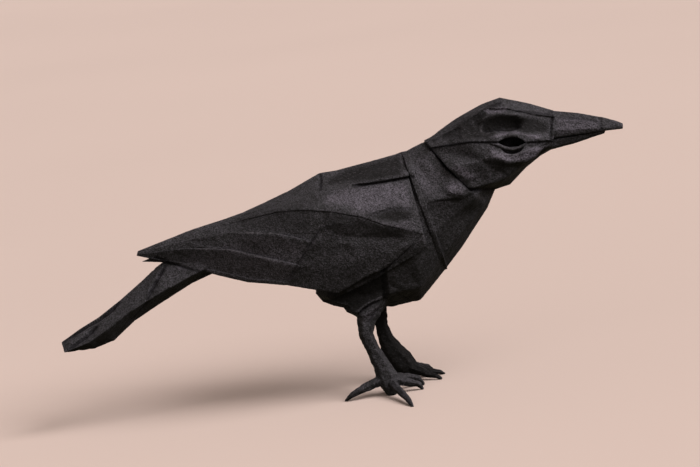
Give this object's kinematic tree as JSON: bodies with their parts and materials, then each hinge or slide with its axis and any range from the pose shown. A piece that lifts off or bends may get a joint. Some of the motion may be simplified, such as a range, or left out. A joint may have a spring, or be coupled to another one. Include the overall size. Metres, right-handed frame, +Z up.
{
  "type": "origami crow",
  "caption": "Standing crow folded from one sheet of black paper, with layered wings, hooded head and toed feet.",
  "frame": {"origin": "on the ground, under the middle of the crow's bounding box", "axes": "+X along the body from the tail to the beak, +Y to the crow's left, +Z up"},
  "size_m": [0.2694, 0.0688, 0.1279],
  "materials": {
    "black_paper": "matte black fibrous paper with a slight sheen on its pressed faces"
  },
  "bodies": {
    "root": {"crow": "black_paper"}
  },
  "joints": []
}
